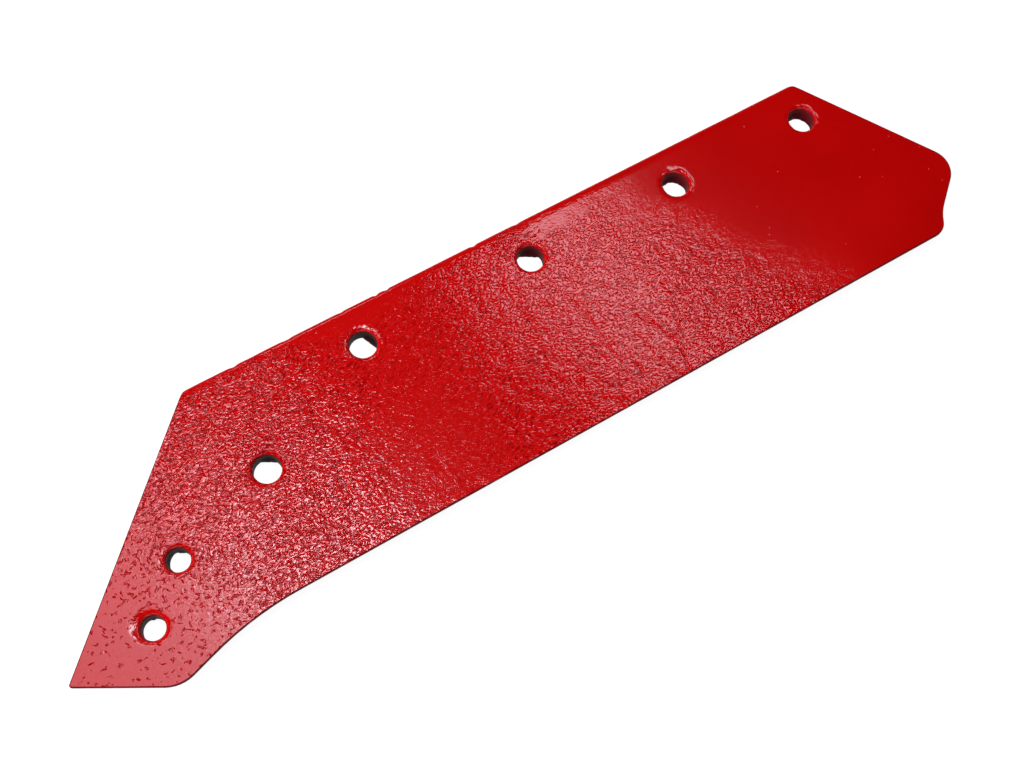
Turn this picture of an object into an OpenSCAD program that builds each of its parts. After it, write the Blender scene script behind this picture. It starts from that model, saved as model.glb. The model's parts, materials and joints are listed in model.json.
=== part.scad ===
// Plough share: one plate of hardened steel that bolts to the frog of a mouldboard plough.
// The plate lies on its back. X runs along the blade, from the point to the wing, Y runs across it
// to the mounting edge, and Z is up through the wear face. The origin is at the middle of the
// plate's box, on its back face.

/* [Blade] */
// Width of the blade, from the cutting edge to the mounting edge
blade_w = 110; // [100:1:130]
// Thickness of the plate
plate_t = 9; // [7:0.5:12]

/* [Point] */
// Height of the tip above the cutting edge's line
tip_rise = 11.5; // [6:0.5:20]
// Angle between the landside edge and the blade
landside_angle = 44; // [40:0.5:50]
// Angle at which the nose's edge falls away from the tip
nose_angle = 30; // [25:0.5:35]
// Depth of the nose below the cutting edge's line
nose_drop = 12.4; // [8:0.2:16]
// Angle of the flank that climbs from the nose to the cutting edge
flank_angle = 17; // [14:0.5:20]
// Radius of the sweep between the flank and the cutting edge
sweep_r = 155; // [80:1:180]
// Radius at the tip
tip_r = 1.2; // [0.8:0.1:3]
// Radius at the nose
nose_r = 17; // [10:0.5:22]
// Radius of the shoulder between the landside edge and the mounting edge
shoulder_r = 5; // [2:0.5:12]

/* [Wing] */
// Angle at which the heel's step leaves the cutting edge
heel_angle = 60; // [50:1:70]
// Length of the heel's step
heel_step = 11; // [9:0.5:16]
// Angle of the edge that runs from the step out to the wing's tip
reach_angle = 40; // [35:1:45]
// Length of that edge
reach = 32; // [26:0.5:40]
// Angle between the wing's edge and the blade
wing_angle = 57.5; // [50:0.5:65]
// Radius at the heel
heel_r = 9; // [4:0.5:12]
// Radius of the hollow between the step and the wing's tip
hollow_r = 28; // [10:1:45]
// Radius of the wing's tip
wing_tip_r = 13; // [8:0.5:16]
// Radius between the wing's edge and the mounting edge
wing_top_r = 5.5; // [2:0.5:12]

/* [Edges] */
// Thickness left on the cutting edge above the ground bevel
land = 2.5; // [1.5:0.1:4]
// Angle between the ground bevel and the back face
bevel_angle = 25; // [22:1:35]
// Radius of the rolled corners along the mounting edge
rolled_r = 2.4; // [1:0.1:3]

/* [Holes] */
// Diameter of the frog bolts' holes
frog_hole_d = 13.5; // [9:0.5:17]
// Diameter of the point bolts' holes
point_hole_d = 11; // [7:0.5:13]
// Radius that punching leaves round each hole on the wear face
punch_r = 1.2; // [0.5:0.1:2]
// Distance of the row of frog holes from the mounting edge
row_inset = 20.5; // [16:0.5:26]
// Distance along the mounting edge from the shoulder to the row's first hole
row_start = 84; // [70:0.5:90]
// Distance from the row's first hole to its second
row_pitch_1 = 94; // [80:0.5:100]
// Distance from the row's second hole to its third
row_pitch_2 = 87; // [80:0.5:95]
// Distance from the row's third hole to its fourth
row_pitch_3 = 80; // [70:0.5:85]
// Distance along the mounting edge from the row's last hole to the wing's edge
row_end = 7; // [3:0.5:80]
// Distance of the point holes from the landside edge
point_inset = 25.5; // [20:0.5:28]
// Distance along the landside edge from the tip to the first point hole
point_start = 34; // [30:0.5:40]
// Distance between the two point holes
point_pitch = 31.5; // [25:0.5:38]
// Distance along the landside edge from the tip to the neck hole
neck_start = 116.5; // [108:0.5:124]
// Distance of the neck hole from the landside edge
neck_inset = 49.5; // [40:0.5:56]

/* [Hidden] */
$fa = 2;
$fs = 0.4;
// How far a cutter runs past the face that it cuts
past = 1;
// The most of an edge that the arcs at its two ends may take between them
straight_share = 0.94;
// How far each arc stands past the straight edges that it joins, so that the two cross cleanly
proud = 0.01;
// How far a bevel's cutter runs on where it meets the next, in mm along an edge or degrees of an arc
run_on = 2;
paint_red = [0.76, 0.02, 0.02];

// The outline's sharp corners, with the cutting edge on y = 0. From the tip one way to the cutting edge
tip = [0, tip_rise];
nose = [(tip_rise + nose_drop) / tan(nose_angle), -nose_drop];
sweep = [nose.x + nose_drop / tan(flank_angle), 0];
// and the other way along the landside and the mounting edge, which ends past the row's last hole
shoulder = [(blade_w - tip_rise) / tan(landside_angle), blade_w];
row_reach = [0, row_pitch_1, row_pitch_1 + row_pitch_2, row_pitch_1 + row_pitch_2 + row_pitch_3];
wing_top = shoulder + [row_start + max(row_reach) + row_end, 0];
// and down the wing's edge to the heel
step_up = heel_step * [cos(heel_angle), sin(heel_angle)];
reach_out = reach * [cos(reach_angle), sin(reach_angle)];
wing_drop = blade_w - step_up.y - reach_out.y;
wing_tip = wing_top + wing_drop * [1 / tan(wing_angle), -1];
hollow = wing_tip - reach_out;
heel = hollow - step_up;
// All of them, anticlockwise from the tip
corners = [tip, nose, sweep, heel, hollow, wing_tip, wing_top, shoulder];
asked_radii = [tip_r, nose_r, sweep_r, heel_r, hollow_r, wing_tip_r, wing_top_r, shoulder_r];
// Places in those lists of the corners that the later steps name
TIP = 0;
NOSE = 1;
SWEEP = 2;
HOLLOW = 4;
WING_TIP = 5;
// The corners that turn inwards, where the arc fills the corner
inward = [SWEEP, HOLLOW];
outward = [for (i = [0 : len(corners) - 1]) if (len(search(i, inward)) == 0) i];

function unit(v) = v / norm(v);
function next(i) = (i + 1) % len(corners);
function last(i) = (i + len(corners) - 1) % len(corners);
function to_last(i) = unit(corners[last(i)] - corners[i]);
function to_next(i) = unit(corners[next(i)] - corners[i]);
// Half of the angle between the two edges that meet at a corner
function half_corner(i) = acos(to_last(i) * to_next(i)) / 2;
// How much of an edge a corner's arc takes, and the share of two arcs that an edge has room for
function taken(i) = asked_radii[i] / tan(half_corner(i));
function edge_length(i) = norm(corners[next(i)] - corners[i]);
function room(i) = min(1, straight_share * edge_length(i) / (taken(i) + taken(next(i))));
radii = [for (i = [0 : len(corners) - 1]) asked_radii[i] * min(room(i), room(last(i)))];
// The points where a corner's arc begins and ends, and the arc's centre
function arc_start(i) = corners[i] + to_last(i) * radii[i] / tan(half_corner(i));
function arc_end(i) = corners[i] + to_next(i) * radii[i] / tan(half_corner(i));
function arc_centre(i) = corners[i] + unit(to_last(i) + to_next(i)) * radii[i] / sin(half_corner(i));
function heading(v) = atan2(v.y, v.x);

// The middle of the rounded outline's box
box_low = [arc_centre(TIP).x - radii[TIP] - proud, arc_centre(NOSE).y - radii[NOSE] - proud];
box_high = [arc_centre(WING_TIP).x + radii[WING_TIP] + proud, blade_w + proud];
middle = (box_low + box_high) / 2;

// Places of the holes
along_landside = to_last(TIP);
into_plate = [along_landside.y, -along_landside.x];
function from_tip(along, inset) = tip + along * along_landside + inset * into_plate;
point_holes = [for (k = [0 : 1]) from_tip(point_start + k * point_pitch, point_inset)];
neck_hole = from_tip(neck_start, neck_inset);
row_holes = [for (s = row_reach) shoulder + [row_start + s, -row_inset]];

bevel_w = (plate_t - land) / tan(bevel_angle);

// The true outline: the corners cut straight across, then each arc added or taken away
module outline() {
    difference() {
        union() {
            polygon([for (i = [0 : len(corners) - 1]) each [arc_start(i), arc_end(i)]]);
            for (i = outward) translate(arc_centre(i)) circle(radii[i] + proud);
        }
        for (i = inward) translate(arc_centre(i)) circle(radii[i] + proud);
    }
}

// What grinding takes off below the cutting edge: x is the distance in from the edge, y is height
module bevel_section() {
    polygon([
        [-past, -past],
        [bevel_w + past / tan(bevel_angle), -past],
        [-past, plate_t - land + past * tan(bevel_angle)]
    ]);
}

// The bevel along the straight edge from a to b, with the plate on the left of that way
module straight_bevel(a, b) {
    translate(a)
        rotate([90, 0, heading(b - a) + 90])
            linear_extrude(norm(b - a)) bevel_section();
}

// The bevel round the nose, whose centre is in the plate
module nose_bevel() {
    r = radii[NOSE] + proud;
    turn = 180 - 2 * half_corner(NOSE);
    translate(arc_centre(NOSE))
        rotate(heading(arc_start(NOSE) - arc_centre(NOSE)))
            rotate_extrude(angle = turn)
                intersection() {
                    translate([r, 0]) mirror([1, 0]) bevel_section();
                    translate([0, -plate_t]) square([r + 2 * past, 3 * plate_t]);
                }
}

// The bevel round the sweep, whose centre is outside the plate
module sweep_bevel() {
    turn = 180 - 2 * half_corner(SWEEP);
    translate(arc_centre(SWEEP))
        rotate(heading(arc_end(SWEEP) - arc_centre(SWEEP)) - run_on)
            rotate_extrude(angle = turn + 2 * run_on)
                translate([radii[SWEEP] + proud, 0]) bevel_section();
}

// The ground bevel, from the tip round the nose and the sweep, and out past the heel
module ground_bevel() {
    straight_bevel(tip - to_next(TIP) * bevel_w, arc_start(NOSE) + to_next(TIP) * run_on);
    nose_bevel();
    straight_bevel(arc_end(NOSE) - to_next(NOSE) * run_on, arc_start(SWEEP));
    sweep_bevel();
    straight_bevel(arc_end(SWEEP), [wing_tip.x, 0]);
}

// What the mill's rolls leave off one long corner of the bar, at the mounting edge
module rolled_corner() {
    translate([box_low.x - past, blade_w - rolled_r, 0])
        rotate([90, 0, 90])
            linear_extrude(box_high.x - box_low.x + 2 * past)
                difference() {
                    translate([0, -past]) square([rolled_r + past, rolled_r + past]);
                    translate([0, rolled_r]) circle(rolled_r + proud);
                }
}

// Both long corners of the mounting edge, on the back face and on the wear face
module rolled_edge() {
    rolled_corner();
    translate([0, 0, plate_t]) mirror([0, 0, 1]) rolled_corner();
}

// A punched hole: a straight bore whose rim is drawn in on the wear face
module punched_hole(d) {
    translate([0, 0, -past]) cylinder(d = d, h = plate_t + 2 * past);
    rotate_extrude()
        difference() {
            translate([0, plate_t - punch_r]) square([d / 2 + punch_r, punch_r + past]);
            translate([d / 2 + punch_r, plate_t - punch_r]) circle(punch_r);
        }
}

module share() {
    color(paint_red)
        translate([-middle.x, -middle.y, 0])
            difference() {
                linear_extrude(plate_t) outline();
                ground_bevel();
                rolled_edge();
                for (p = point_holes) translate(p) punched_hole(point_hole_d);
                for (p = concat([neck_hole], row_holes)) translate(p) punched_hole(frog_hole_d);
            }
}

share();
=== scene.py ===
"""The looks of the plough share: one rolled, cropped, punched and ground plate in gloss red enamel."""

import json
import math

import bmesh
import bpy
from mathutils import Euler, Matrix, Quaternion, Vector, noise


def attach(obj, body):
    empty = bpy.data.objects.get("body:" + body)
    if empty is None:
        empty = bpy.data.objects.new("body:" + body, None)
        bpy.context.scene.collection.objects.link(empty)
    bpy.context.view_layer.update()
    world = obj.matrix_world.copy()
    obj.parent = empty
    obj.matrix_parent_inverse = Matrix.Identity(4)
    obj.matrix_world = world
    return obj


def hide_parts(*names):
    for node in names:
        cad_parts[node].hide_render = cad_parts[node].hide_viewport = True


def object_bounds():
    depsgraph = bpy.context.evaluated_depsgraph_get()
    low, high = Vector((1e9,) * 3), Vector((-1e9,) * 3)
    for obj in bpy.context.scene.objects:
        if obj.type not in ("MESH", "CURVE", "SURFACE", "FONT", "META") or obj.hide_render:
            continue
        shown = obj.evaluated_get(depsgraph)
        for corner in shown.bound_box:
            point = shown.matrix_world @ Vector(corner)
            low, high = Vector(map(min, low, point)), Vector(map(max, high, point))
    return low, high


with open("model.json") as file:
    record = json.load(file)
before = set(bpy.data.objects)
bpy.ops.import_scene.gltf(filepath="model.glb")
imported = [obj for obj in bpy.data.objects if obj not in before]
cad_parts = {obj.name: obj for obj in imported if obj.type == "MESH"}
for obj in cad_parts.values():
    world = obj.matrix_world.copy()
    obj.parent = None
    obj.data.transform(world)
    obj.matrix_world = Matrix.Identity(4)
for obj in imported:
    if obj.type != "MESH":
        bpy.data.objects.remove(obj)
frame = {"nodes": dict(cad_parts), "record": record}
cad_low, cad_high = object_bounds()

MM = 0.001

# The plate, from the frame: it lies on its back, X along the blade, Y to the mounting edge, Z up
thickness = cad_high.z - cad_low.z
holes = [
    (Vector(m["pos_m"][:2]), m["dims"]["r_mm"] * MM)
    for m in frame["record"]["mounts"]
    if m["kind"] == "bore"
]

# How finely the plate is divided, so that its skin can take dents, pits and nicks
FACE_CELL = 0.95 * MM
BACK_CELL = 5 * FACE_CELL
WALL_CELL = 1.5 * MM
# How often the cells beside a crease are halved, and how far from it
CREASE_CUTS = 2
CREASE_REACH = 0.9 * MM
# Points closer than this are one, and faces closer to one plane than this are one flat
MERGE = 0.03 * MM
FLAT = math.radians(0.5)
# Radius that the enamel leaves on a cropped edge, and the turn from which an edge counts as cropped
EDGE_R = 0.5 * MM
SHARP = math.radians(38)
# Width of the ring round a hole that belongs to its rim
RIM_W = 3 * MM
# How level a face's normal is, from 1 when flat to 0 down a wall: flats are above, rounds and walls below
LEVEL = 0.93


def smooth(x, start, end):
    """0 before start and 1 after end, with a smooth step between; start may be the larger."""
    t = min(max((x - start) / (end - start), 0), 1)
    return t * t * (3 - 2 * t)


# ---- the bare plate ----

def bare_plate():
    """The frame's plate with its doubles merged and its flats whole, ready to be rounded."""
    bm = bmesh.new()
    bm.from_mesh(frame["nodes"]["share"].data)
    bmesh.ops.remove_doubles(bm, verts=bm.verts[:], dist=MERGE)
    bmesh.ops.dissolve_limit(bm, angle_limit=FLAT, verts=bm.verts[:], edges=bm.edges[:])
    return bm


def near_hole(p, reach):
    """Whether a point lies within reach of a hole's wall, seen from above."""
    return any((Vector(p[:2]) - middle).length < r + reach for middle, r in holes)


def round_edges(bm):
    """Rounds the cropped edges of the outline. The punched rims are round already."""
    edges = [
        e for e in bm.edges
        if e.is_manifold
        and e.calc_face_angle() > SHARP
        and not near_hole((e.verts[0].co + e.verts[1].co) / 2, RIM_W)
    ]
    bmesh.ops.bevel(
        bm, geom=edges, offset=EDGE_R, offset_type="OFFSET", segments=2, profile=0.5,
        affect="EDGES", material=-1, clamp_overlap=True,
    )


def cut_across(bm, faces, axis, cell, low, high):
    """Divides the faces by evenly spaced planes square to an axis, from its low side to its high one."""
    normal = Vector((0, 0, 0))
    normal[axis] = 1
    place = math.ceil(low / cell) * cell
    ahead = faces
    while place < high and ahead:
        near = [f for f in ahead if min(v.co[axis] for v in f.verts) < place]
        far = [f for f in ahead if min(v.co[axis] for v in f.verts) >= place]
        if near:
            edges = dict.fromkeys(e for f in near for e in f.edges)
            verts = dict.fromkeys(v for f in near for v in f.verts)
            cut = bmesh.ops.bisect_plane(
                bm, geom=[*near, *edges, *verts], dist=0.02 * MM,
                plane_co=normal * place, plane_no=normal,
            )
            made = [g for g in cut["geom"] if isinstance(g, bmesh.types.BMFace)]
            near = [f for f in made if max(v.co[axis] for v in f.verts) > place + 0.01 * MM]
        ahead = near + far
        place += cell


def is_wear(f):
    return f.normal.z > 0.9 and all(v.co.z > thickness - 0.3 * MM for v in f.verts)


def is_back(f):
    return f.normal.z < -0.8


def divide(bm):
    """Fine cells on the wear face, coarse ones on the back, and middling ones down the walls."""
    bm.normal_update()
    low, high = cad_low, cad_high
    cut_across(bm, [f for f in bm.faces if not is_back(f)], 0, FACE_CELL, low.x, high.x)
    cut_across(bm, [f for f in bm.faces if is_wear(f)], 1, FACE_CELL, low.y, high.y)
    cut_across(bm, [f for f in bm.faces if is_back(f)], 0, BACK_CELL, low.x, high.x)
    cut_across(bm, [f for f in bm.faces if is_back(f)], 1, BACK_CELL, low.y, high.y)
    walls = [f for f in bm.faces if abs(f.normal.z) < 0.3]
    cut_across(bm, walls, 2, WALL_CELL, low.z + 0.8 * MM, high.z - 0.8 * MM)
    for _ in range(CREASE_CUTS):
        beside = [
            f for f in bm.faces
            if is_wear(f) and along_lines(Vector(f.calc_center_median()[:2]), creases, CREASE_REACH)
        ]
        edges = list(dict.fromkeys(e for f in beside for e in f.edges))
        bmesh.ops.subdivide_edges(bm, edges=edges, cuts=1, use_grid_fill=True)
        bm.normal_update()
    bmesh.ops.triangulate(bm, faces=[f for f in bm.faces if len(f.verts) > 4])


# ---- the worked skin ----

# Punching drew the wear face in round each hole. For each hole in turn: the width and depth of the dish
# in mm, the direction it leans to in degrees, how much wider it is there, how ragged, and its form
DISHES = [
    (2.4, 0.42, 135, 0.9, 0.20, "cone"),
    (1.8, 0.30, 150, 0.4, 0.25, "cone"),
    (2.2, 0.36, 150, 0.3, 0.25, "cone"),
    (2.7, 0.29, 40, 0.3, 0.50, "bowl"),
    (1.8, 0.20, 60, 0.3, 0.30, "bowl"),
    (2.6, 0.28, 60, 0.3, 0.45, "bowl"),
    (2.3, 0.23, 30, 0.3, 0.45, "bowl"),
]
# The steeper turn just inside each dish, and how wide it is
TURN = 0.26
TURN_W = 1.3 * MM
# Lips that the punch left at the back end of the bores: hole, direction in degrees, how far the lip stands
# into the hole in mm, and whether it runs straight across, follows the bore or is a narrow burr
LIPS = [
    (0, 75, 0.5, "burr"),
    (1, 60, 0.6, "straight"),
    (1, 175, 0.8, "round"),
    (2, 60, 1.1, "straight"),
    (3, 22, 1.8, "straight"),
    (4, 60, 2.0, "straight"),
    (5, 60, 1.4, "round"),
    (6, 60, 1.4, "round"),
]
LIP_HIGH = 3.6 * MM
# Rolling and hardening left the bar slightly wavy and hammered all over, and the enamel dried to a peel
WAVE = 70 * MM
WAVE_DEPTH = 0.06 * MM
DENT = 6 * MM
DENT_DEPTH = 0.06 * MM
PEEL = 2.2 * MM
PEEL_DEPTH = 0.05 * MM
# The rolls drew the mounting edge down a little
EDGE_DROP = 0.25 * MM
EDGE_DROP_W = 5.5 * MM
# Creases in the scale under the enamel, in mm: each a line of points, its depth and its width
CREASES = [
    ([(21.5, 57.5), (20.8, 49), (22.5, 44), (25, 41)], 0.16, 0.55),
    (
        [(22, 57), (26, 56.8), (29.8, 54.5), (34, 55.2), (39.3, 56.6), (44, 56.0), (49, 57), (54, 55.6)],
        0.12, 0.5,
    ),
    ([(58, -10), (60.3, -14.9), (65, -21), (68.5, -33), (66.6, -46), (66, -58)], 0.16, 0.8),
    ([(68, -31), (73, -27), (79.8, -24)], 0.12, 0.7),
    ([(35, 10.7), (37.7, -1.7), (37.8, -18), (39, -28.8)], 0.09, 0.7),
    ([(54, -34), (58, -38), (60, -46), (64, -54)], 0.10, 0.7),
]
# Old scratches, raised where the enamel piled up along them
SCRATCHES = [
    ([(203.5, 34.6), (204.8, 21), (205, 8.7)], -0.03, 0.7),
    ([(228, 14), (230.5, -6), (232.3, -25.5)], -0.02, 0.6),
    ([(119, 46), (134, 44.4), (147, 41.4), (157, 39.8)], -0.03, 0.8),
    ([(135, 25.5), (139.6, 15.8)], -0.03, 0.7),
    ([(-41, -31.6), (-40.7, -42)], -0.05, 0.8),
    ([(-60.7, -27.3), (-60, -38), (-59.1, -52)], -0.06, 0.8),
    ([(-50, -32), (-49.7, -40.7)], -0.05, 0.8),
]
# Nicks that handling left along the mounting edge, in mm: where, how wide and how deep
NICKS = [
    (-123, 3.0, 0.5), (-95, 4.0, 0.35), (-66, 2.5, 0.3), (-47, 1.8, 0.6),
    (-41, 2.2, 0.5), (8, 2.5, 0.6), (33, 3, 0.4),
]


def lumps(p, size, seed, octaves=2):
    """Smooth bumps of about that size, from -1 to 1."""
    return noise.fractal(Vector((p.x / size, p.y / size, seed)), 0.9, 2.0, octaves)


def line_parts(lines):
    """Each line's straight parts in metres: start, run, depth, width and the box that a part can reach."""
    parts = []
    for points, depth, width in lines:
        for a, b in zip(points, points[1:]):
            a, b = Vector(a) * MM, Vector(b) * MM
            reach = (width + 2) * MM
            low = Vector(map(min, a, b)) - Vector((reach, reach))
            high = Vector(map(max, a, b)) + Vector((reach, reach))
            parts.append((a, b - a, depth * MM, width * MM, low, high))
    return parts


def along_lines(q, parts, beside=0):
    """Depth that the lines press into the skin at q, with their edges a little ragged."""
    deepest = 0
    for a, run, depth, width, low, high in parts:
        if low.x < q.x < high.x and low.y < q.y < high.y:
            ragged = q + Vector((lumps(q, 3 * MM, 2.2), lumps(q, 3 * MM, 8.1))) * 0.8 * MM
            t = min(max((ragged - a).dot(run) / run.length_squared, 0), 1)
            press = depth * max(0, 1 - (ragged - a - run * t).length / (width + beside))
            deepest = max(deepest, press, key=abs)
    return deepest


# Smoother patches in the rough skin, in mm: middle, half length, half width, and how rough they stay
PATCHES = [
    ((48, 53), 18, 6, 0.45),
    ((-66, 57), 30, 8, 0.65),
    ((-64, -16), 26, 26, 0.8),
]


def worked(p):
    """Where the scale is rough: most over the neck, less in the middle and the point, least at the wing."""
    wander = 12 * MM * lumps(p, 40 * MM, 3.1)
    wing = smooth(p.x + wander + 0.8 * p.y, 150 * MM, 85 * MM)
    point = 0.22 + 0.78 * smooth(p.x + wander + 0.5 * p.y, -235 * MM, -140 * MM)
    neck = 0.35 * smooth(abs(p.x + wander + 5 * MM), 60 * MM, 95 * MM)
    along = p.x + wander
    plain = 1 - 0.25 * smooth(along, -110 * MM, -85 * MM) * smooth(along, -15 * MM, -40 * MM)
    edge = 0.2 + 0.8 * smooth(cad_high.y - p.y, 2 * MM, 5 * MM)
    rough = 0.05 + (0.95 + neck) * wing * point * plain * edge
    for middle, half_x, half_y, left in PATCHES:
        off = p - Vector(middle) * MM
        out = math.hypot(off.x / half_x, off.y / half_y) / MM + 0.3 * lumps(p, 9 * MM, 6.6)
        rough *= 1 - (1 - left) * smooth(out, 1.5, 0.6)
    return rough


def pitted(p):
    """Where the scale flaked in short curled pits: over the neck, beside one hole, a few at the point."""
    wander = 14 * MM * lumps(p, 30 * MM, 7.7)
    neck = smooth(p.x + wander, -75 * MM, -120 * MM)
    beside = smooth((p - Vector((27, 53)) * MM).length, 18 * MM, 8 * MM)
    return max(beside, neck * (0.3 + 0.7 * smooth(p.x + 0.6 * p.y + wander, -250 * MM, -180 * MM)))


def relief(q, rough):
    """Height of the skin over the flat wear face."""
    height = WAVE_DEPTH * lumps(q, WAVE, 1.3)
    height += DENT_DEPTH * rough * lumps(q, DENT, 5.2)
    height += PEEL_DEPTH * rough * lumps(q, PEEL, 9.4, 1)
    height -= along_lines(q, marks)
    height -= EDGE_DROP * (1 - smooth(cad_high.y - q.y, 0, EDGE_DROP_W))
    for k, (middle, r) in enumerate(holes):
        off = q - middle
        away = off.length - r
        if away < 8 * MM:
            wide, deep, lean, more, torn, form = DISHES[k]
            ragged = 1 + torn * lumps(q, 2.2 * MM, 20 + k)
            toward = math.cos(math.atan2(off.y, off.x) - math.radians(lean))
            grown = ragged * (1 + more * max(toward, 0)) * MM
            t = min(max(away / (wide * grown), 0), 1)
            height -= deep * grown * (1 - (t if form == "cone" else smooth(t, 0, 1)))
            height -= TURN * max(0, TURN_W * ragged - max(away, 0))
    return height


def hang_lips(bm):
    """Stands the punch's lips into the bores, near the back face."""
    for k, lean, stands, kind in LIPS:
        middle, r = holes[k]
        for v in bm.verts:
            off = Vector(v.co[:2]) - middle
            if v.co.z > LIP_HIGH or off.length > r + 0.05 * MM:
                continue
            turn = math.atan2(off.y, off.x) - math.radians(lean)
            turn = abs((turn + math.pi) % math.tau - math.pi)
            if kind == "straight":
                inner = (r - stands * MM) / max(math.cos(turn), 0.2)
            elif kind == "round":
                inner = r - stands * MM * smooth(turn, math.radians(100), math.radians(30))
            else:
                inner = r - stands * MM * smooth(turn, math.radians(16), 0)
            if inner < r:
                inner += 0.25 * MM * lumps(v.co, 2 * MM, 40 + k)
                held = smooth(v.co.z, LIP_HIGH, 0.5 * MM)
                new = off.length + (min(inner, r) - off.length) * held
                v.co.xy = middle + off * (new / off.length)


def work_skin(bm):
    """Presses the relief into the wear face, and lets it fade down the walls."""
    rough_mark = bm.verts.layers.float.new("rough")
    pit_mark = bm.verts.layers.float.new("pits")
    for v in bm.verts:
        held = smooth(v.co.z, 0.35 * thickness, 0.95 * thickness)
        q = Vector(v.co[:2])
        v[rough_mark] = worked(q)
        v[pit_mark] = pitted(q)
        if held > 0:
            v.co.z += held * relief(q, v[rough_mark])


def nick_edge(bm):
    """Rolling and handling left the mounting edge a little uneven and nicked along its upper corner."""
    for v in bm.verts:
        edge = cad_high.y - v.co.y
        if edge < 3 * MM and abs(v.co.x) < 0.9 * cad_high.x and v.co.z > 1 * MM:
            wobble = 0.12 * MM * lumps(v.co, 9 * MM, 31)
            for place, width, depth in NICKS:
                wobble -= depth * MM * (1 - smooth(abs(v.co.x - place * MM), 0, width * MM))
            v.co.y += min(wobble, 0) * smooth(edge, 3 * MM, 1 * MM)


creases = line_parts(CREASES)
marks = creases + line_parts(SCRATCHES)
bm = bare_plate()
round_edges(bm)
divide(bm)
work_skin(bm)
nick_edge(bm)

# Which finish each face takes: the first is the enamel of the flats
BORE = 1
EDGE = 2
bm.normal_update()
for f in bm.faces:
    f.smooth = True
    c = f.calc_center_median()
    if near_hole(c, 0.25 * MM) and abs(f.normal.z) < 0.6:
        f.material_index = BORE
    elif not near_hole(c, 2 * MM) and abs(f.normal.z) < LEVEL:
        f.material_index = EDGE
# The flats stay even right up to the rounds of the cropped edges
CREST = math.radians(15)
for e in bm.edges:
    if e.is_manifold and e.calc_face_angle() > CREST and not near_hole(e.verts[0].co, RIM_W):
        e.smooth = max(abs(f.normal.z) for f in e.link_faces) < LEVEL
hang_lips(bm)
bm.normal_update()
# Painted shade on the edges, where the enamel is coloured near black-red: all round, but on the rolled
# corners only where they turn down
edge_shade_mark = bm.verts.layers.float.new("wall")
for v in bm.verts:
    rolled = v.co.y > cad_high.y - 3 * MM
    v[edge_shade_mark] = smooth(abs(v.normal.z), 0.5, 0.2) if rolled else 1

mesh = bpy.data.meshes.new("share_plate")
bm.to_mesh(mesh)
bm.free()
plate = bpy.data.objects.new("share_plate", mesh)
bpy.context.scene.collection.objects.link(plate)
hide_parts("share")
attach(plate, "root")


# ---- finishes ----

class Finish:
    """A material and short ways to wire its nodes."""

    def __init__(self, name):
        self.material = bpy.data.materials.new(name)
        self.material.use_nodes = True
        self.tree = self.material.node_tree
        self.shader = self.tree.nodes["Principled BSDF"]

    def node(self, kind, **settings):
        made = self.tree.nodes.new("ShaderNode" + kind)
        for name, value in settings.items():
            setattr(made, name, value)
        return made

    def put(self, target, name, value):
        """Sets a socket, or links it where the value is another node's output."""
        if isinstance(value, bpy.types.NodeSocket):
            self.tree.links.new(value, target.inputs[name])
        else:
            target.inputs[name].default_value = value

    def math(self, operation, a, b=0.0):
        made = self.node("Math", operation=operation)
        for k, value in enumerate((a, b)):
            self.put(made, k, value)
        return made.outputs[0]

    def place(self):
        return self.node("TexCoord").outputs["Object"]

    def mark(self, name):
        return self.node("Attribute", attribute_name=name).outputs["Fac"]

    def noise(self, size, detail=2.0, roughness=0.5, distortion=0.0, stretch=None):
        """Noise from 0 to 1 with features of about that size."""
        made = self.node("TexNoise")
        where = self.place()
        if stretch:
            turned = self.node("Mapping")
            self.put(turned, "Vector", where)
            turned.inputs["Scale"].default_value = stretch
            where = turned.outputs[0]
        self.put(made, "Vector", where)
        self.put(made, "Scale", 1 / size)
        self.put(made, "Detail", detail)
        self.put(made, "Roughness", roughness)
        self.put(made, "Distortion", distortion)
        return made.outputs["Fac"]

    def ramp(self, value, start, end, low=0.0, high=1.0):
        made = self.node("MapRange", interpolation_type="SMOOTHSTEP")
        names = ("Value", "From Min", "From Max", "To Min", "To Max")
        for name, v in zip(names, (value, start, end, low, high)):
            self.put(made, name, v)
        return made.outputs[0]

    def vee(self, value, narrow):
        """V-shaped lines of height 1 where a noise passes its middle."""
        off = self.math("ABSOLUTE", self.math("SUBTRACT", value, 0.5))
        return self.math("MAXIMUM", self.math("SUBTRACT", 1.0, self.math("MULTIPLY", off, narrow)), 0.0)

    def mix(self, share, a, b):
        made = self.node("Mix", data_type="RGBA")
        self.put(made, 0, share)
        for k, value in ((6, a), (7, b)):
            self.put(made, k, value if isinstance(value, bpy.types.NodeSocket) else (*value, 1))
        return made.outputs[2]

    def bump(self, height, depth):
        made = self.node("Bump")
        self.put(made, "Height", height)
        self.put(made, "Distance", depth)
        self.put(self.shader, "Normal", made.outputs[0])
        self.put(self.shader, "Coat Normal", made.outputs[0])


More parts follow.
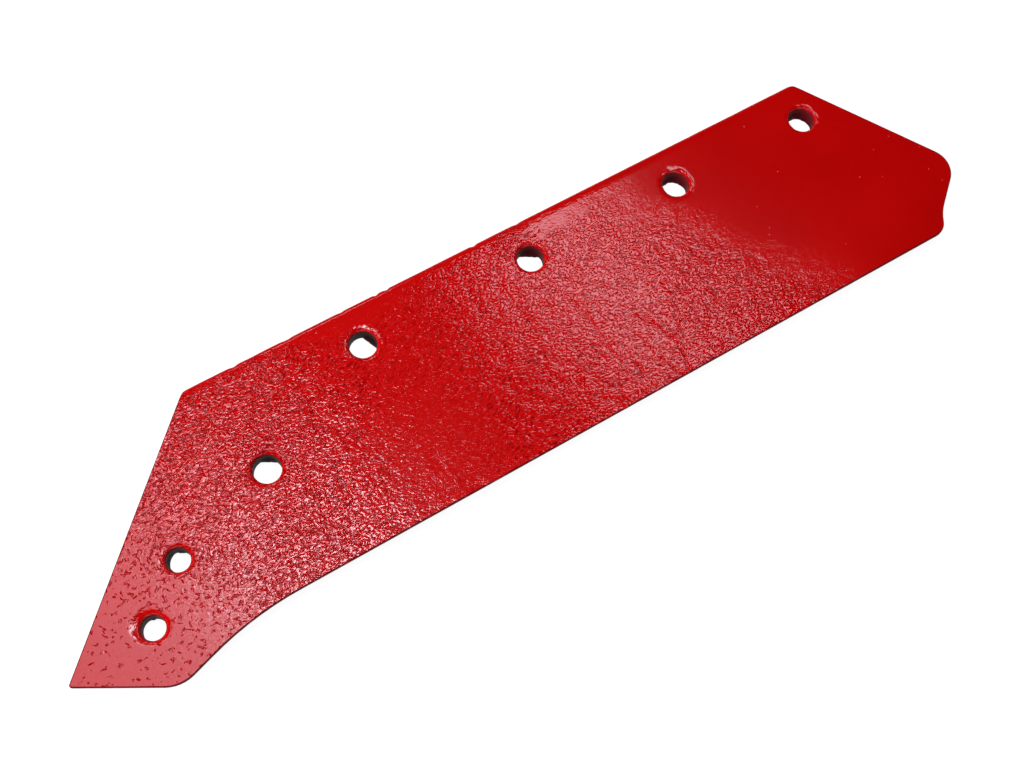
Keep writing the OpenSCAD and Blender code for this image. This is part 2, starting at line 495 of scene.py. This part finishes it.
def red_enamel():
    """Gloss enamel over hot-rolled scale: orange peel all over, and curled pits where the scale flaked."""
    e = Finish("red_enamel")
    rough = e.mark("rough")
    pits = e.mark("pits")
    # grain: rounded bumps with V-shaped valleys between them, where a noise passes its middle
    drawn = e.noise(1.8 * MM, detail=0.0, distortion=0.5, stretch=(0.75, 1.15, 1.0))
    off = e.math("ABSOLUTE", e.math("SUBTRACT", drawn, 0.5))
    valley = e.math("MULTIPLY", e.ramp(off, 0.08, 0.02), e.ramp(rough, 0.45, 0.95))
    grain = e.math("MULTIPLY", e.math("POWER", off, 0.7), 0.135)
    fine = e.noise(1.2 * MM, detail=0.0, distortion=0.4)
    grain = e.math("ADD", grain, e.math("MULTIPLY", fine, 0.04))
    # curled pits: pieces of a web of creases, broken up by another noise
    fewer = e.math("MULTIPLY", e.math("SUBTRACT", 1.0, pits), 0.25)
    kept = e.ramp(e.math("SUBTRACT", e.noise(2.2 * MM, detail=0.0), fewer), 0.44, 0.52)
    groove = e.math("MULTIPLY", e.vee(e.noise(3.0 * MM, detail=0.0, distortion=1.2), 8.0), kept)
    groove = e.math("MULTIPLY", groove, e.ramp(pits, 0.0, 0.2))
    height = e.math("SUBTRACT", e.math("MULTIPLY", grain, rough), e.math("MULTIPLY", groove, 0.09))
    # dust nibs caught in the enamel
    spots = e.node("TexVoronoi", feature="F1")
    e.put(spots, "Vector", e.place())
    e.put(spots, "Scale", 1 / (9 * MM))
    nib = e.ramp(spots.outputs["Distance"], 0.02, 0.06, 1.0, 0.0)
    e.bump(e.math("ADD", height, e.math("MULTIPLY", nib, 0.04)), 1 * MM)
    # colour: a little deeper where the enamel is thick, brighter where the skin is rough, and darkened down
    # in the creases and valleys as painted shade
    cloud = e.ramp(e.noise(60 * MM, detail=3.0), 0.3, 0.7)
    red = e.mix(cloud, (0.41, 0.0005, 0.0005), (0.47, 0.0010, 0.0008))
    red = e.mix(e.math("MINIMUM", rough, 1.0), red, (0.53, 0.0008, 0.0008))
    # lighter pink dots on the dust nibs, most where the skin is smooth: a painted highlight
    red = e.mix(e.math("MULTIPLY", nib, e.ramp(rough, 0.5, 0.1, 0.0, 0.6)), red, (0.80, 0.10, 0.10))
    # deep holds the painted shade of the pits and valleys, and also takes the gloss coat off there
    deep = e.math("MAXIMUM", e.math("MULTIPLY", groove, 0.8), e.math("MULTIPLY", valley, 0.75))
    e.put(e.shader, "Base Color", e.mix(deep, red, (0.17, 0.0, 0.0005)))
    # the gloss is a coat on the enamel's top, and the creases and valleys stay dull
    e.put(e.shader, "Coat Weight", e.math("SUBTRACT", 1.0, deep))
    e.put(e.shader, "Coat Roughness", 0.12)
    e.put(e.shader, "Specular IOR Level", 0.0)
    e.put(e.shader, "Roughness", 0.4)
    return e.material


def edge_enamel():
    """The duller enamel round the cropped edges and down the walls, coloured near black-red there as
    painted shade.
    """
    e = Finish("edge_enamel")
    wall = e.mark("wall")
    # painted shade: near black-red wherever the wall mark is set
    red = e.mix(wall, (0.46, 0.0004, 0.0004), (0.12, 0.001, 0.003))
    e.put(e.shader, "Base Color", red)
    e.put(e.shader, "Roughness", e.ramp(e.noise(4 * MM), 0.3, 0.7, 0.35, 0.5))
    e.put(e.shader, "Specular IOR Level", 0.08)
    e.bump(e.noise(2.0 * MM, detail=1.0), 0.10 * MM)
    return e.material


def bore_scale():
    """Bare dark scale down a punched hole, with enamel that drifted in from the top."""
    b = Finish("bore_scale")
    z = b.node("SeparateXYZ")
    b.put(z, 0, b.place())
    speckle = b.noise(1.6 * MM, detail=3.0, roughness=0.6)
    # more enamel drifted into the holes toward the wing
    level = b.math("ADD", z.outputs["Z"], b.math("MULTIPLY", speckle, 3 * MM))
    drift = b.ramp(level, 8.0 * MM, 10.4 * MM)
    wing = b.ramp(z.outputs["X"], -0.10, 0.16)
    scale = b.mix(wing, (0.018, 0.006, 0.006), (0.15, 0.006, 0.010))
    b.put(b.shader, "Base Color", b.mix(drift, scale, (0.34, 0.003, 0.004)))
    b.put(b.shader, "Roughness", 0.6)
    b.put(b.shader, "Specular IOR Level", 0.08)
    b.bump(speckle, 0.3 * MM)
    return b.material


for finish in (red_enamel(), bore_scale(), edge_enamel()):
    mesh.materials.append(finish)


# ---- studio ----

def softbox(name, place, aim, width, length, brightness, turn=0):
    """An even rectangular light, turned about its aim. Its brightness is the grey that it would show as."""
    data = bpy.data.lights.new(name, "AREA")
    data.shape = "RECTANGLE"
    data.size = width
    data.size_y = length
    data.energy = brightness * math.pi * width * length
    data.color = (1.0, 0.95, 1.06)
    lamp = bpy.data.objects.new(name, data)
    lamp.location = place
    ahead = (Vector(aim) - Vector(place)).to_track_quat("-Z", "Y")
    lamp.rotation_euler = (ahead @ Quaternion((0, 0, 1), math.radians(turn))).to_euler()
    bpy.context.scene.collection.objects.link(lamp)
    return lamp


def overhead(name, x, y, width, length, brightness, turn):
    """A light straight above that place, 1 m over the plate."""
    return softbox(name, (x, y, 1), (x, y, 0), width, length, brightness, turn)


overhead("point_overhead", -0.30, 0.20, 0.32, 0.38, 2.5, 24)
overhead("neck_overhead", -0.20, 0.27, 0.15, 0.36, 12.0, 24)
overhead("sweep_overhead", -0.09, 0.15, 0.16, 0.20, 21.0, 24)
overhead("wing_overhead", 0.455, 0.29, 0.14, 0.50, 6.0, 29)
overhead("patch_overhead", 0.41, 0.45, 0.22, 0.09, 3.3, 0)
overhead("rim_overhead", 0.05, -0.05, 0.10, 0.10, 14.0, 0)
overhead("back_overhead", 0.10, 1.00, 0.25, 0.35, 7.0, 0)
# The low lights at the left and behind fill the red, and their own mirror images are kept off the gloss
softbox("left_panel", (-1.7, 0.45, 0.85), (-0.1, 0, 0), 1.2, 1.0, 9.0).visible_glossy = False
softbox("front_panel", (-0.6, -1.5, 0.75), (0, 0, 0), 2.4, 1.1, 0.8)
softbox("back_panel", (-0.4, 1.9, 0.6), (0, 0, 0), 2.4, 0.8, 1.5).visible_glossy = False

world = bpy.data.worlds.new("studio")
bpy.context.scene.world = world
world.use_nodes = True
world.node_tree.nodes["Background"].inputs["Color"].default_value = (1, 1, 1, 1)
world.node_tree.nodes["Background"].inputs["Strength"].default_value = 0.01

# The floor, with a low wall of the same paper all round it
FLOOR_R = 6
WALL_HIGH = 1.1
bm = bmesh.new()
bmesh.ops.create_circle(bm, cap_ends=True, segments=96, radius=FLOOR_R)
wall = bmesh.ops.extrude_edge_only(bm, edges=bm.edges[:])
rim = [g for g in wall["geom"] if isinstance(g, bmesh.types.BMVert)]
bmesh.ops.translate(bm, vec=(0, 0, WALL_HIGH), verts=rim)
mesh = bpy.data.meshes.new("floor")
bm.to_mesh(mesh)
bm.free()
floor = bpy.data.objects.new("floor", mesh)
floor.location.z = cad_low.z - 0.05 * MM
bpy.context.scene.collection.objects.link(floor)
paper = Finish("white_paper")
paper.put(paper.shader, "Base Color", (0.20, 0.20, 0.20, 1))
paper.put(paper.shader, "Roughness", 0.9)
paper.put(paper.shader, "Specular IOR Level", 0.1)
# It shows as white paper, to the eye and in reflections, and whitest far from the plate
seen = paper.node("LightPath")
shown = paper.math("MAXIMUM", seen.outputs["Is Camera Ray"], seen.outputs["Is Glossy Ray"])
shown = paper.math("MAXIMUM", shown, seen.outputs["Is Transmission Ray"])
reach = paper.node("VectorMath", operation="LENGTH")
paper.put(reach, 0, paper.place())
glow = paper.ramp(reach.outputs["Value"], 0.5, 3.0, 0.94, 1.0)
paper.put(paper.shader, "Emission Color", (1, 1, 1, 1))
paper.put(paper.shader, "Emission Strength", paper.math("MULTIPLY", shown, glow))
mesh.materials.append(paper.material)

# The camera looks down on the wear face from above the point
camera = bpy.data.cameras.new("camera")
camera.sensor_width = 36
camera.lens = 47.158
eye = bpy.data.objects.new("camera", camera)
eye.location = Vector((-169.16, -180.75, 604.10)) * MM
eye.rotation_euler = Euler([math.radians(a) for a in (20.618, -4.507, -31.027)])
camera.clip_start = 0.01
bpy.context.scene.collection.objects.link(eye)
bpy.context.scene.camera = eye
bpy.context.scene.view_settings.view_transform = "Standard"
